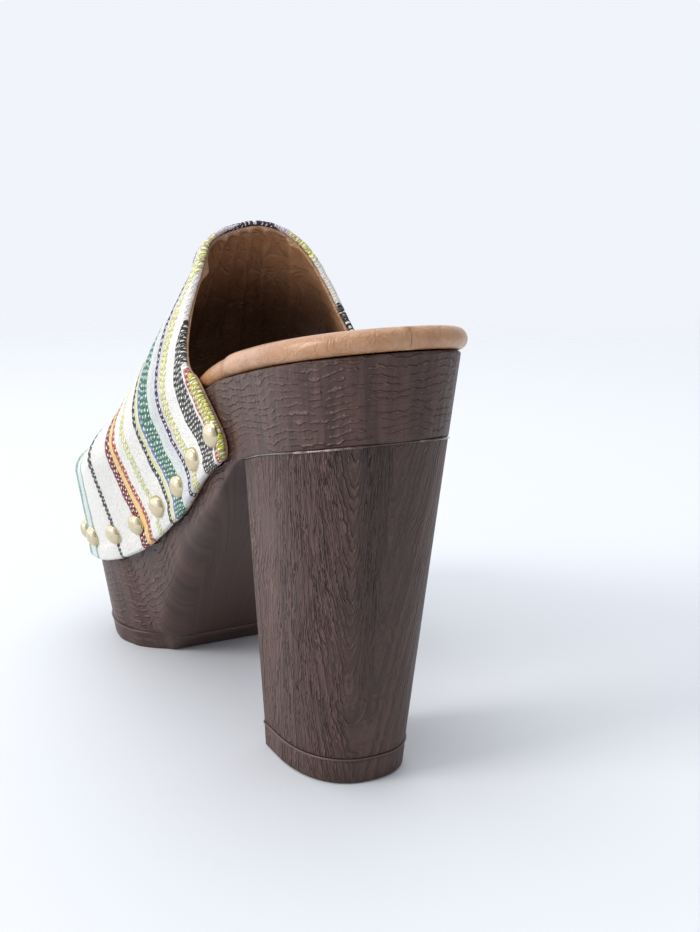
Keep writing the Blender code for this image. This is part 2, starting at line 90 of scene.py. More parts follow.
SOLE_COLUMNS = ("place", "side", "spread", "rise", "tread_side", "tread_spread", "under")
SOLE_ROWS = (
    (0.000, 0.000, 0.00, 1.000, 0.000, 0.00, 1.000),
    (0.246, 0.000, 0.00, 0.862, 0.000, 0.00, 0.886),
    (0.340, -0.004, -0.02, 0.788, 0.004, -0.03, 0.722),
    (0.407, -0.006, 0.02, 0.690, 0.004, -0.07, 0.600),
    (0.475, -0.012, 0.15, 0.556, -0.008, -0.10, 0.468),
    (0.543, -0.020, 0.38, 0.405, -0.020, -0.11, 0.322),
    (0.611, -0.042, 0.66, 0.258, -0.040, -0.10, 0.160),
    (0.661, -0.056, 0.84, 0.160, -0.052, -0.16, 0.030),
    (0.679, -0.060, 0.89, 0.130, -0.056, -0.21, 0.000),
    (0.704, -0.063, 0.94, 0.088, -0.058, 0.22, 0.000),
    (0.733, -0.066, 0.98, 0.052, -0.062, 0.63, 0.000),
    (0.783, -0.070, 1.00, 0.016, -0.067, 0.94, 0.000),
    (0.850, -0.078, 0.99, 0.000, -0.075, 1.00, 0.000),
    (0.925, -0.096, 0.96, 0.010, -0.092, 0.95, 0.000),
    (1.000, -0.122, 0.92, 0.040, -0.118, 0.87, 0.000),
)
UPPER_COLUMNS = (
    "place", "crest", "lean", "shoulder", "side_pull", "crown_pull", "hem", "outer_full", "inner_full"
)
UPPER_ROWS = (
    (0.240, 0.20, 0.012, 0.16, 0.38, 0.42, 0.90, 0.000, 0.00),
    (0.340, 0.30, 0.034, 0.18, 0.28, 0.46, 1.12, 0.000, 0.10),
    (0.430, 0.66, 0.052, 0.22, 0.27, 0.46, 1.26, 0.000, 0.13),
    (0.507, 1.00, 0.060, 0.34, 0.29, 0.46, 1.12, 0.042, 0.14),
    (0.580, 0.86, 0.056, 0.42, 0.30, 0.38, 0.97, 0.036, 0.10),
    (0.650, 0.56, 0.046, 0.54, 0.35, 0.37, 0.78, 0.020, 0.05),
    (0.720, 0.34, 0.030, 0.66, 0.42, 0.48, 0.62, 0.006, 0.00),
    (0.790, 0.17, 0.020, 0.66, 0.46, 0.56, 0.56, 0.000, 0.00),
    (0.860, 0.00, 0.012, 0.62, 0.50, 0.60, 0.56, 0.000, 0.00),
    (0.940, -0.14, 0.006, 0.56, 0.50, 0.60, 0.56, 0.000, 0.00),
)
SIDE_SHARE = 7 / 38  # share of the upper's girth that stands straight on each side

# Looks: edges, ridges and relief
SOLE_EDGE_ROUND = 0.0008
SHARP_ROUND = 0.0002
OUTSOLE_EDGE_ROUND = 0.0007
ARCH_EDGE_ROUND = 0.0085
CORNER_REACH = 0.0175
LINING_THICKNESS = 0.0011
HEEL_FLARE = 1.25          # girth of the heel halfway up, for 1 at the floor
TURNED_EDGE_RISE = 0.0006  # extra height of the cloth where its edge is turned in
UPPER_GIRTH = 0.190        # about the upper's length from hem to hem
SLOPE_STRETCH = 1.15       # length of the upper along its slope, for 1 on the floor

# Folds in the lining: place across and along the foot, slant, width and depth
LINING_FOLDS = (
    (0.0120, 0.096, 0.30, 0.0014, 0.0017),
    (0.0060, 0.108, 0.10, 0.0013, 0.0020),
    (0.0020, 0.112, -0.10, 0.0016, 0.0024),
    (-0.0030, 0.112, -0.25, 0.0013, 0.0018),
    (-0.0080, 0.108, -0.30, 0.0014, 0.0015),
    (-0.0140, 0.100, -0.40, 0.0015, 0.0014),
)

# Grain of the heel: a darker wedge up its back, its edges at the floor measured round from the middle
# of the back, and how far the grain leans towards it on either side.
WEDGE_LEFT = -0.0120
WEDGE_RIGHT = -0.0060
LEAN_LEFT = 0.34
LEAN_RIGHT = 0.22

# Stripes of the cloth, from the rear corner to the toe: start on the lower edge in millimetres from
# the back of the footbed, colour, and whether the yarn is a row of open links. The sizes of links and
# threads below are in millimetres too.
PAPER_WHITE = (0.86, 0.84, 0.79)
STRIPES = (
    (40.0, (0.66, 0.62, 0.10), True),
    (61.2, (0.55, 0.10, 0.07), True),
    (63.3, PAPER_WHITE, False),
    (64.9, (0.035, 0.033, 0.030), True),
    (73.3, PAPER_WHITE, False),
    (79.6, (0.90, 0.88, 0.36), True),
    (83.4, (0.66, 0.62, 0.68), False),
    (85.2, (0.045, 0.030, 0.070), True),
    (87.3, (0.68, 0.68, 0.72), False),
    (90.5, (0.70, 0.76, 0.70), False),
    (94.0, (0.035, 0.24, 0.165), True),
    (100.3, (0.17, 0.27, 0.48), True),
    (102.4, PAPER_WHITE, False),
    (103.4, (0.74, 0.74, 0.40), False),
    (105.6, (0.050, 0.045, 0.070), True),
    (107.7, PAPER_WHITE, False),
    (114.8, (0.90, 0.91, 0.46), True),
    (117.2, PAPER_WHITE, False),
    (122.0, (0.60, 0.11, 0.05), True),
    (124.1, (0.90, 0.62, 0.24), False),
    (127.3, (0.26, 0.008, 0.018), True),
    (131.5, PAPER_WHITE, False),
    (147.2, (0.040, 0.038, 0.050), True),
    (149.9, PAPER_WHITE, False),
    (166.0, (0.30, 0.42, 0.40), False),
    (168.2, (0.70, 0.76, 0.74), False),
    (175.0, (0.16, 0.42, 0.33), True),
    (187.6, (0.66, 0.70, 0.78), False),
    (194.0, (0.90, 0.88, 0.36), True),
    (197.0, PAPER_WHITE, False),
)
CHART_START, CHART_END = 40.0, 230.0
LINK_PITCH = 2.1
LINK_LENGTH = 1.75
LINK_HOLE = 0.48
THREAD_ACROSS = 0.85
THREAD_ALONG = 0.70
YARN_SHADE = (0.42, 0.39, 0.36)

# How far a stripe has moved on towards the toe: the share with its height up the side, and the metres
# at the crest by where it starts.
STRIPE_RISE = ((0.0, 0.0), (0.03, 0.04), (0.07, 0.19), (0.12, 0.46), (0.17, 0.65), (0.22, 0.75),
               (0.30, 0.90), (0.40, 0.98), (0.50, 1.0))
STRIPE_DRIFT = ((0.050, 0.029), (0.069, 0.028), (0.085, 0.0265), (0.099, 0.021), (0.108, 0.016),
                (0.125, 0.013), (0.140, 0.006), (0.153, 0.0), (0.215, -0.006))


# The last's curves

def column(columns, rows, name, place):
    """A table's column at any place, as a smooth curve through its rows."""
    at = columns.index(name)
    xs = [row[0] for row in rows]
    ys = [row[at] for row in rows]
    if place <= xs[0]:
        return ys[0]
    if place >= xs[-1]:
        return ys[-1]
    i = max(k for k in range(len(xs) - 1) if xs[k] <= place)
    slopes = [(ys[k + 1] - ys[k]) / (xs[k + 1] - xs[k]) for k in range(len(xs) - 1)]

    def tangent(k):
        if k == 0:
            return slopes[0]
        if k == len(xs) - 1:
            return slopes[-1]
        before, after = slopes[k - 1], slopes[k]
        if before * after <= 0.0:
            return 0.0
        return 2.0 * before * after / (before + after)

    step = xs[i + 1] - xs[i]
    t = (place - xs[i]) / step
    return (
        (2 * t ** 3 - 3 * t ** 2 + 1) * ys[i]
        + (t ** 3 - 2 * t ** 2 + t) * step * tangent(i)
        + (3 * t ** 2 - 2 * t ** 3) * ys[i + 1]
        + (t ** 3 - t ** 2) * step * tangent(i + 1)
    )


def table_reader(columns, rows, samples=2400):
    """Reader of a table of curves by name and place along the foot, sampled once."""
    kept = {
        name: [column(columns, rows, name, k / samples) for k in range(samples + 1)]
        for name in columns[1:]
    }

    def read(name, x):
        at = min(max(x / FOOT_LENGTH, 0.0), 1.0) * samples
        k = min(int(at), samples - 1)
        return mix(kept[name][k], kept[name][k + 1], at - k)

    return read


def mix(a, b, share):
    return a + (b - a) * share


def search(is_below, low, high, rounds):
    """Span around the place where a test stops being true, halved in each round."""
    for _ in range(rounds):
        middle = (low + high) / 2
        if is_below(middle):
            low = middle
        else:
            high = middle
    return low, high


def runs_along(points):
    """Length of the line through the points, up to each of them."""
    runs = [0.0]
    for a, b in zip(points[:-1], points[1:]):
        runs.append(runs[-1] + (b - a).length)
    return runs


def smooth(low, high, value):
    """Soft step from 0 to 1 between two values."""
    t = min(max((value - low) / (high - low), 0.0), 1.0)
    return t * t * (3.0 - 2.0 * t)


def broken_line(points, x):
    """Value at x on a line through (x, y) points."""
    if x <= points[0][0]:
        return points[0][1]
    for (x0, y0), (x1, y1) in zip(points[:-1], points[1:]):
        if x <= x1:
            return mix(y0, y1, (x - x0) / (x1 - x0))
    return points[-1][1]


sole_value = table_reader(SOLE_COLUMNS, SOLE_ROWS)
upper_value = table_reader(UPPER_COLUMNS, UPPER_ROWS)


def end_round(distance, reach, power):
    """Share of the full width at a distance from a rounded end."""
    inner = 1.0 - min(max(distance / reach, 0.0), 1.0)
    return (1.0 - inner ** power) ** (1.0 / power)


def ends_share(x):
    return end_round(x, SEAT_REACH, SEAT_POWER) * end_round(FOOT_LENGTH - x, TOE_REACH, TOE_POWER)


def top_height(x):
    return mix(PLATFORM_HEIGHT, HEEL_HEIGHT, sole_value("rise", x))


def under_height(x):
    """Underside of sole and outsole together: heel seam, arch, tread and toe spring."""
    seam = (HEEL_HEIGHT - SEAT_DEPTH) * sole_value("under", x)
    toe = max(0.0, (x - (FOOT_LENGTH - TOE_REACH / 2)) / (TOE_REACH / 2))
    return seam + TOE_SPRING * toe ** 2


def top_edge(x, side):
    half = mix(SEAT_WIDTH, BALL_WIDTH, sole_value("spread", x)) / 2
    y = sole_value("side", x) * BALL_WIDTH + side * half * ends_share(x)
    return Vector((x, y, top_height(x)))


def under_half(x):
    """Half width of the underside, before its ends are rounded."""
    return mix(SEAT_WIDTH / 2 - SEAT_LEAN, BALL_WIDTH / 2 - BALL_LEAN, sole_value("tread_spread", x))


def under_edge(x, side):
    back = BACK_LEAN * (1.0 - min(x / SEAT_REACH, 1.0))
    toe = TOE_LEAN * max(0.0, (x - FOOT_LENGTH + TOE_REACH) / TOE_REACH)
    y = sole_value("tread_side", x) * BALL_WIDTH + side * under_half(x) * ends_share(x)
    return Vector((x + back - toe, y, under_height(x)))


def side_out(x, side):
    """Level direction away from the sole's side."""
    step = FOOT_LENGTH / 400
    along = top_edge(min(x + step, FOOT_LENGTH - WELD), side) - top_edge(max(x - step, WELD), side)
    return Vector((along.y * -side, along.x * side, 0.0)).normalized()


def side_point(x, side, height, out=0.0):
    """Point on the sole's side, or on the line that carries it on upwards, at a height."""
    low = under_edge(x, side)
    high = top_edge(x, side)
    point = low.lerp(high, (height - low.z) / (high.z - low.z))
    if out:
        point += side_out(x, side) * out
    return point


def places(start, end, count):
    """Places along the foot, closer together towards the rounded ends."""
    def spaced(x):
        seat = math.sqrt(min(x / SEAT_REACH, 1.0)) * SEAT_REACH
        toe = math.sqrt(min((FOOT_LENGTH - x) / TOE_REACH, 1.0)) * TOE_REACH
        return seat + max(x - SEAT_REACH, 0.0) - toe

    found = []
    for k in range(count + 1):
        goal = mix(spaced(start), spaced(end), k / count)
        low, high = search(lambda x: spaced(x) < goal, start, end, 40)
        found.append((low + high) / 2)
    found[0], found[-1] = start, end
    return found


def tread_start():
    """Place where the arch comes down to the top of the outsole."""
    low, high = FOOT_LENGTH * 0.5, FOOT_LENGTH * 0.75
    return search(lambda x: under_height(x) > OUTSOLE_THICKNESS, low, high, 50)[1]


def outsole_top(x):
    return OUTSOLE_THICKNESS + under_height(max(x, FOOT_LENGTH - TOE_REACH / 2))


# Meshes

def grid_piece(name, rows, uvs, reliefs=None, sharp=50.0):
    """Skin a grid of points as one piece with a UV map in metres and a point attribute "relief", which on
    the lining is the share left free of painted shade.
    """
    bm = bmesh.new()
    uv_layer = bm.loops.layers.uv.new("UVMap")
    relief_layer = bm.verts.layers.float.new("relief")
    made_rows = []
    for i, row in enumerate(rows):
        made_row = []
        for j, point in enumerate(row):
            vert = bm.verts.new(point + TO_FRAME)
            vert[relief_layer] = reliefs[i][j] if reliefs else 1.0
            made_row.append(vert)
        made_rows.append(made_row)
    for i in range(len(rows) - 1):
        for j in range(len(rows[0]) - 1):
            corners = ((i, j), (i, j + 1), (i + 1, j + 1), (i + 1, j))
            face = bm.faces.new([made_rows[a][b] for a, b in corners])
            for loop, (a, b) in zip(face.loops, corners):
                loop[uv_layer].uv = uvs[a][b]
    return finished_mesh(name, bm, sharp=sharp)


def add_object(name, data):
    made = bpy.data.objects.new(name, data)
    bpy.context.scene.collection.objects.link(made)
    return made


def finished_mesh(name, bm, weld=WELD, sharp=50.0):
    """Weld, close the open ends, turn the faces out and make the object."""
    bmesh.ops.remove_doubles(bm, verts=bm.verts, dist=weld)
    bmesh.ops.dissolve_degenerate(bm, dist=weld, edges=bm.edges)
    rims = [edge for edge in bm.edges if edge.is_boundary]
    if rims:
        bmesh.ops.holes_fill(bm, edges=rims, sides=0)
    bmesh.ops.recalc_face_normals(bm, faces=bm.faces)
    mesh = bpy.data.meshes.new(name)
    bm.to_mesh(mesh)
    bm.free()
    mesh.shade_smooth()
    mesh.set_sharp_from_angle(angle=math.radians(sharp))
    return add_object(name, mesh)


def dress(piece, finish, slot, *nodes):
    """Give a piece its material and its body, and let it stand for its solids. The slot is not used."""
    piece.data.materials.clear()
    piece.data.materials.append(finish)
    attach(piece, "root")
    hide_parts(*nodes)


ROUND_STEPS = 6


def flank_levels(low, high, low_round, high_round, levels):
    """Heights up a side with how far each stands back, so that both edges are rounded."""
    found = []
    for k in range(ROUND_STEPS + 1):
        turn = math.pi / 2 * k / ROUND_STEPS
        found.append((low + low_round * (1.0 - math.cos(turn)), low_round * (1.0 - math.sin(turn))))
    for k in range(1, levels):
        found.append((mix(low + low_round, high - high_round, k / levels), 0.0))
    for k in range(ROUND_STEPS, -1, -1):
        turn = math.pi / 2 * k / ROUND_STEPS
        found.append((high - high_round * (1.0 - math.cos(turn)), high_round * (1.0 - math.sin(turn))))
    return found


def sole_layer(name, xs, low_at, high_at, out_at, low_round, high_round, levels):
    """One moulded layer of the sole: sides with rounded edges, flat top and underside. It lies between
    two heights, stands out from the side a little, and has a rounding for each edge."""
    across = 8
    step = 0.002
    runs = {side: runs_along([top_edge(x, side) for x in xs]) for side in (1, -1)}
    rows, uvs, reliefs = [], [], []
    for i, x in enumerate(xs):
        low, high = low_at(x), high_at(x)
        slope = (top_height(min(x + step, FOOT_LENGTH)) - top_height(max(x - step, 0.0))) / (2 * step)
        level = math.cos(math.atan(slope))
        flanks = {}
        for side in (1, -1):
            flank = []
            rounded = flank_levels(low, high, min(low_round(x), (high - low) / 3), high_round, levels)
            for z, back in rounded:
                stand = (out_at(x) - back) * min(1.0, ends_share(x) * 1.5 + 0.25)
                point = side_point(x, side, z, stand)
                uv = (side * runs[side][i], (z - top_height(x)) * level)
                depth = smooth(low_round(x) * 0.3, low_round(x) * 2.2, z - low)
                flank.append((point, uv, depth))
            flanks[side] = flank
        outer, inner = flanks[1], flanks[-1]
        ring = list(outer)
        for k in range(1, across):
            ring.append(between(outer[-1], inner[-1], k / across))
        ring += inner[::-1]
        for k in range(1, across):
            ring.append(between(inner[0], outer[0], k / across))
        ring.append(outer[0])
        rows.append([part[0] for part in ring])
        uvs.append([part[1] for part in ring])
        reliefs.append([part[2] for part in ring])
    return grid_piece(name, rows, uvs, reliefs)


def between(first, last, share):
    """Point on a flat face between two edges, without relief."""
    point = first[0].lerp(last[0], share)
    uv = (mix(first[1][0], last[1][0], share), first[1][1])
    return point, uv, 0.0


# Node helpers

FLOAT, VECTOR = "NodeSocketFloat", "NodeSocketVector"
GEOMETRY, MATERIAL = "NodeSocketGeometry", "NodeSocketMaterial"


class Term:
    """Output of a node, for use in formulas. Each step of a formula makes one maths node."""

    def __init__(self, socket):
        self.socket = socket
        self.tree = socket.id_data

    def __add__(self, other):
        return maths("ADD", self, other)

    def __sub__(self, other):
        return maths("SUBTRACT", self, other)

    def __rsub__(self, other):
        return maths("SUBTRACT", other, self)

    def __mul__(self, other):
        return maths("MULTIPLY", self, other)

    def __truediv__(self, other):
        return maths("DIVIDE", self, other)

    def __rtruediv__(self, other):
        return maths("DIVIDE", other, self)

    def __abs__(self):
        return maths("ABSOLUTE", self)


def feed(socket, value):
    """Link a socket to a term, or set its value."""
    if isinstance(value, Term):
        value.tree.links.new(value.socket, socket)
    elif socket.type == "RGBA":
        socket.default_value = (*value, 1.0)
    else:
        socket.default_value = value


def node(tree, kind, inputs=None, **settings):
    """Add a node, set its fields, and set or link its inputs."""
    made = tree.nodes.new(kind)
    for name, value in settings.items():
        setattr(made, name, value)
    for name, value in (inputs or {}).items():
        feed(made.inputs[name], value)
    return made


def out_of(tree, kind, inputs=None, output=0, **settings):
    """One output of a new node."""
    return Term(node(tree, kind, inputs, **settings).outputs[output])


def new_group(name, kind, inputs, outputs):
    """Empty node group, with its inputs as terms and the sockets that take its results."""
    tree = bpy.data.node_groups.new(name, kind)
    for label, socket_kind, *preset in inputs:
        socket = tree.interface.new_socket(label, in_out="INPUT", socket_type=socket_kind)
        if preset:
            socket.default_value = preset[0]
    for label, socket_kind in outputs:
        tree.interface.new_socket(label, in_out="OUTPUT", socket_type=socket_kind)
    sockets = tree.nodes.new("NodeGroupInput").outputs
    given = {label: Term(sockets[label]) for label, *_ in inputs}
    return tree, given, tree.nodes.new("NodeGroupOutput").inputs


def maths(operation, *values):
    tree = next(value.tree for value in values if isinstance(value, Term))
    return out_of(tree, "ShaderNodeMath", dict(enumerate(values)), operation=operation)


def around_middle(value):
    """Part after the point, from -0.5 to 0.5."""
    return maths("FRACT", value) - 0.5


def step_up(value, low, high):
    """Soft mask from 0 at low to 1 at high."""
    ends = {"Value": value, "From Min": low, "From Max": high}
    return out_of(value.tree, "ShaderNodeMapRange", ends, "Result", interpolation_type="SMOOTHSTEP")


def step_down(value, low, high):
    """Soft mask from 1 at low to 0 at high."""
    return 1.0 - step_up(value, low, high)


def blend(share, first, second, mode="MIX"):
    ends = {0: share, 6: first, 7: second}
    return out_of(share.tree, "ShaderNodeMix", ends, 2, data_type="RGBA", blend_type=mode)


def apart(vector):
    return [Term(socket) for socket in node(vector.tree, "ShaderNodeSeparateXYZ", {0: vector}).outputs]


def together(x, y, z=0.0):
    return out_of(x.tree, "ShaderNodeCombineXYZ", {0: x, 1: y, 2: z})


def mottle(vector, scale, detail=1.0, **more):
    """Noise around 0.5, with further inputs of its node by name."""
    given = {"Vector": vector, "Scale": scale, "Detail": detail, **more}
    return out_of(vector.tree, "ShaderNodeTexNoise", given, "Fac")


def bumped(height, distance, strength=1.0, **under):
    """Normal of a relief, laid over an earlier Normal if one is given."""
    given = {"Height": height, "Distance": distance, "Strength": strength, **under}
    return out_of(height.tree, "ShaderNodeBump", given)


def uv_vector(tree):
    return out_of(tree, "ShaderNodeUVMap", output="UV", uv_map="UVMap")


def object_vector(tree):
    return out_of(tree, "ShaderNodeTexCoord", output="Object")


def relief_value(tree):
    return out_of(tree, "ShaderNodeAttribute", output="Fac", attribute_name="relief")


def new_material(name):
    made = bpy.data.materials.new(name)
    made.use_nodes = True
    return made, made.node_tree


def finished(made, **sockets):
    """The material, with its shader's sockets linked or set by name, with _ for a space."""
    shader = made.node_tree.nodes["Principled BSDF"]
    for name, value in sockets.items():
        feed(shader.inputs[name.replace("_", " ")], value)
    return made


# Materials

def dashed_rows_group():
    """Rows of short raised dashes with small kinks, crossed by faint bands. Vector is in metres."""
    tree, given, out = new_group(
        "moulded rows of dashes", "ShaderNodeTree",
        (("Vector", VECTOR), ("Row Spacing", FLOAT, 0.0022), ("Row Width", FLOAT, 0.34),
         ("Drift", FLOAT, 3.2), ("Wander", FLOAT, 0.9), ("Dash Rate", FLOAT, 210.0),
         ("Bare Share", FLOAT, 0.4), ("Bands Along", FLOAT, 220.0), ("Bands Across", FLOAT, 22.0)),
        (("Ridges", FLOAT), ("Streaks", FLOAT)),
    )
    along, across, _ = apart(given["Vector"])
    broad = mottle(given["Vector"], 55.0)
    kinks = mottle(given["Vector"], 420.0)
    rows = across / given["Row Spacing"] + (broad * given["Drift"] + kinks * given["Wander"])
    ridge = step_down(abs(around_middle(rows)), 0.0, given["Row Width"] * 0.5)
    breaks = mottle(together(along * given["Dash Rate"], maths("FLOOR", rows) * 7.3), 1.0)
    dashes = step_up(breaks, given["Bare Share"], given["Bare Share"] + 0.12)
    patches = step_up(broad, 0.25, 0.55)
    band_place = together(along * given["Bands Along"], across * given["Bands Across"])
    feed(out["Ridges"], ridge * (dashes * patches * 0.9 + 0.1))
    feed(out["Streaks"], mottle(band_place, 1.0, 3.0, Roughness=0.55))
    return tree


def heel_grain_place(tree):
    """UV with its axes swapped, for grain that runs up the heel and leans on both sides of its wedge."""
    round_heel, up, _ = apart(uv_vector(tree))
    rising = step_up(round_heel, WEDGE_LEFT - 0.036, WEDGE_LEFT)
    falling = step_up(round_heel, WEDGE_LEFT, WEDGE_LEFT + 0.012)
    lean = rising * LEAN_LEFT - falling * (LEAN_LEFT + LEAN_RIGHT)
    return together(up, lean * up + round_heel)


def heel_wedge(tree):
    """Masks of the heel's grain: how dark its wedge is, and how much of the relief is left."""
    place = uv_vector(tree)
    round_heel, up, _ = apart(place)
    moved = mottle(place, 160.0, 2.0) * 0.008 + round_heel
    past_left = step_up(moved, WEDGE_LEFT - 0.002, WEDGE_LEFT + 0.008)
    past_right = step_up(moved - up * LEAN_RIGHT, WEDGE_RIGHT, WEDGE_RIGHT + 0.006)
    return maths("MAXIMUM", past_left - past_right, 0.0), past_left * -0.62 + 1.0


def wood_effect(name, vector_of, dark, light, grain_values, depth, roughness=0.46, masks_of=None):
    """Moulded plastic with raised wood grain, and a painted highlight that makes its ridges slightly
    lighter.
    """
    made, tree = new_material(name)
    grain_inputs = {"Vector": vector_of(tree), **grain_values}
    grain = node(tree, "ShaderNodeGroup", grain_inputs, node_tree=rows_group).outputs
    streaks, relief = Term(grain["Streaks"]), relief_value(tree)
    ridges = Term(grain["Ridges"]) * relief
    tone = step_up(streaks, 0.30, 0.72)
    base = blend(tone, dark, light)
    if masks_of:
        darker, kept = masks_of(tree)
        ridges = ridges * kept
        base = blend(darker * 0.55, base, dark)
    # Painted highlight: the ridges are blended towards a brighter copy of the light tone.
    raised = blend(ridges * 0.5, base, tuple(c * 1.8 for c in light))
    fine = bumped(mottle(object_vector(tree), 1800.0, 2.0), 0.00003, 0.5)
    grained = bumped(ridges, depth, Normal=fine)
    banded = bumped(tone * relief, depth * 0.5, Normal=grained)
    return finished(made, Base_Color=raised, Roughness=streaks * 0.14 + (roughness - 0.07), Normal=banded,
                    Specular_IOR_Level=0.42)


def leather(name, dark, light, roughness, crease_depth, scale=1.0, painted_shade_tone=None):
    """Smooth leather: clouded colour, fine pores and soft short creases, with painted shade along the
    creases. A last colour, if given, is painted shade, multiplied in where the piece's "relief" falls to
    0."""
    made, tree = new_material(name)
    place = object_vector(tree)
    clouds = mottle(place, 55.0 * scale, 4.0)
    creases = mottle(place, 190.0 * scale, 3.0, Roughness=0.6, Distortion=0.8)
    pores = out_of(tree, "ShaderNodeTexVoronoi", {"Vector": place, "Scale": 1500.0 * scale}, "Distance")
    folds = step_up(abs(creases - 0.5), 0.0, 0.10)
    tone = blend(step_up(clouds, 0.32, 0.70), dark, light)
    # Painted shade: the leather is darker along its creases.
    tone = blend((1.0 - folds) * 0.18, tone, tuple(c * 0.6 for c in dark))
    # Painted shade deep inside the piece, away from its edges, where "relief" falls to 0.
    if painted_shade_tone:
        tone = blend(1.0 - relief_value(tree), tone, painted_shade_tone, "MULTIPLY")
    creased = bumped(folds, crease_depth, 0.7, Normal=bumped(pores, 0.00006, 0.5))
    return finished(made, Base_Color=tone, Roughness=clouds * 0.2 + (roughness - 0.1), Normal=creased,
                    Coat_Weight=0.25, Coat_Roughness=0.28)


def stripe_ramp(share, values):
    """Constant colour ramp with one step for each stripe."""
    ramp = node(share.tree, "ShaderNodeValToRGB", {"Fac": share})
    ramp.color_ramp.interpolation = "CONSTANT"
    steps = ramp.color_ramp.elements
    for k, (start, value) in enumerate(values):
        at = (start - CHART_START) / (CHART_END - CHART_START)
        step = steps[k] if k < 2 else steps.new(at)
        step.position = at
        step.color = (*value, 1.0)
    return Term(ramp.outputs["Color"])


def striped_cloth():
    """Woven cotton: charted stripes, some of plain yarn and some of rows of open links."""
    made, tree = new_material("striped cloth")
    place = uv_vector(tree)
    across_uv, along_uv, _ = apart(place)
    waver = mottle(place, 240.0)
    across = mottle(place, 950.0) * 0.9 + (waver * 1.3 + across_uv * 1000.0 - 1.1)
    along = along_uv * 1000.0
    share = (across - CHART_START) / (CHART_END - CHART_START)
    colour = stripe_ramp(share, [(start, tone) for start, tone, _ in STRIPES])
    kinds = [(start, (float(linked), start / LINK_PITCH % 1.0, 0.0)) for start, _, linked in STRIPES]
    parts = node(tree, "ShaderNodeSeparateColor", {0: stripe_ramp(share, kinds)}).outputs
    linked, phase = Term(parts[0]), Term(parts[1])

    columns = across / LINK_PITCH - phase
    in_column = around_middle(columns)
    row = waver * 1.6 + along / LINK_LENGTH + maths("FLOOR", columns) * 0.5
    in_link = around_middle(in_column * 0.35 + row)
    offset = together(in_column * LINK_PITCH, in_link * (LINK_LENGTH * 1.5))
    radius = out_of(tree, "ShaderNodeVectorMath", {0: offset}, "Value", operation="LENGTH")
    hole = step_down(radius, LINK_HOLE * 0.8, LINK_HOLE * 1.25)
    notch = abs(in_column) * 2.0 + maths("POWER", abs(in_link * 2.0), 2.0) * 0.6
    opening = maths("MAXIMUM", hole, step_up(notch, 1.22, 1.42))
    ring = maths("MAXIMUM", 1.0 - abs((radius - LINK_HOLE * 1.9) * (1.1 / LINK_HOLE)), 0.0)

    rib = maths("SINE", across * (2 * math.pi / THREAD_ACROSS))
    beat = maths("SINE", along * (2 * math.pi / THREAD_ALONG))
    weave = rib * beat * 0.45 + rib * 0.25
    plain_height = weave * 0.6 + mottle(place, 900.0, 3.0) * 1.6

    paler = step_up(mottle(place, 1100.0, 2.0), 0.50, 0.68) * 0.20
    yarn = blend(opening * linked * 0.9, blend(paler, colour, PAPER_WHITE), PAPER_WHITE)
    between_yarns = step_down(plain_height, 0.35, 0.85) * 0.30
    shaded = blend(between_yarns, yarn, YARN_SHADE, "MULTIPLY")
    heights = {0: linked, 2: plain_height, 3: ring * 1.5 + 0.9}
    height = out_of(tree, "ShaderNodeMix", heights, data_type="FLOAT")
    return finished(made, Base_Color=shaded, Normal=bumped(height, 0.00050), Roughness=0.85,
                    Sheen_Weight=0.15, Sheen_Roughness=0.5, Specular_IOR_Level=0.2)


def pale_gold():
    made, tree = new_material("pale gold")
    wear = mottle(object_vector(tree), 900.0, 3.0)
    tone = blend(wear, (0.58, 0.49, 0.31), (0.76, 0.67, 0.48))
    return finished(made, Base_Color=tone, Roughness=wear * 0.12 + 0.05, Metallic=1.0)


def brown_glue():
    """Thin shiny film of glue, squeezed out in uneven lumps, with painted glints in pale patches."""
    made, tree = new_material("clear brown glue")
    lumps = mottle(object_vector(tree), 130.0, 4.0)
    # Painted glints: pale patches where the lump noise is high, on the glue's dark brown.
    tone = blend(step_up(lumps, 0.54, 0.68), (0.035, 0.014, 0.011), (0.34, 0.24, 0.21))
    return finished(made, Base_Color=tone, Normal=bumped(lumps, 0.0002), Roughness=0.22, Coat_Weight=0.6,
                    Coat_Roughness=0.1)


rows_group = dashed_rows_group()
SEAT_GRAIN = {"Row Spacing": 0.0021, "Row Width": 0.50, "Wander": 0.8, "Dash Rate": 190.0,
              "Bare Share": 0.40}
HEEL_GRAIN = {"Row Spacing": 0.00135, "Row Width": 0.75, "Drift": 5.0, "Wander": 1.3, "Dash Rate": 75.0,
              "Bare Share": 0.34, "Bands Along": 14.0, "Bands Across": 420.0}
sole_finish = wood_effect("wood effect of the sole", uv_vector, (0.038, 0.0175, 0.0125),
                          (0.086, 0.043, 0.034), SEAT_GRAIN, 0.00062)
heel_finish = wood_effect("wood effect of the heel", heel_grain_place, (0.038, 0.019, 0.014),
                          (0.100, 0.051, 0.040), HEEL_GRAIN, 0.00070, masks_of=heel_wedge)
rubber_finish = wood_effect("grained rubber", uv_vector, (0.044, 0.021, 0.017),
                            (0.072, 0.039, 0.033), SEAT_GRAIN, 0.00012, 0.5)
line_finish = wood_effect("moulded line", uv_vector, (0.070, 0.040, 0.034),
                          (0.115, 0.072, 0.062), SEAT_GRAIN, 0.00005, 0.36)
tan_finish = leather("tan leather", (0.37, 0.175, 0.078), (0.51, 0.275, 0.148), 0.34, 0.00016)
# The lining's last colour is painted shade, darkening it deep inside the shoe.
lining_finish = leather("brown lining leather", (0.27, 0.142, 0.075), (0.50, 0.285, 0.155), 0.40, 0.00040,
                        0.6, (0.22, 0.22, 0.25))
cloth_finish = striped_cloth()
gold_finish = pale_gold()
glue_finish = brown_glue()


# Sole, outsole, heel and top piece

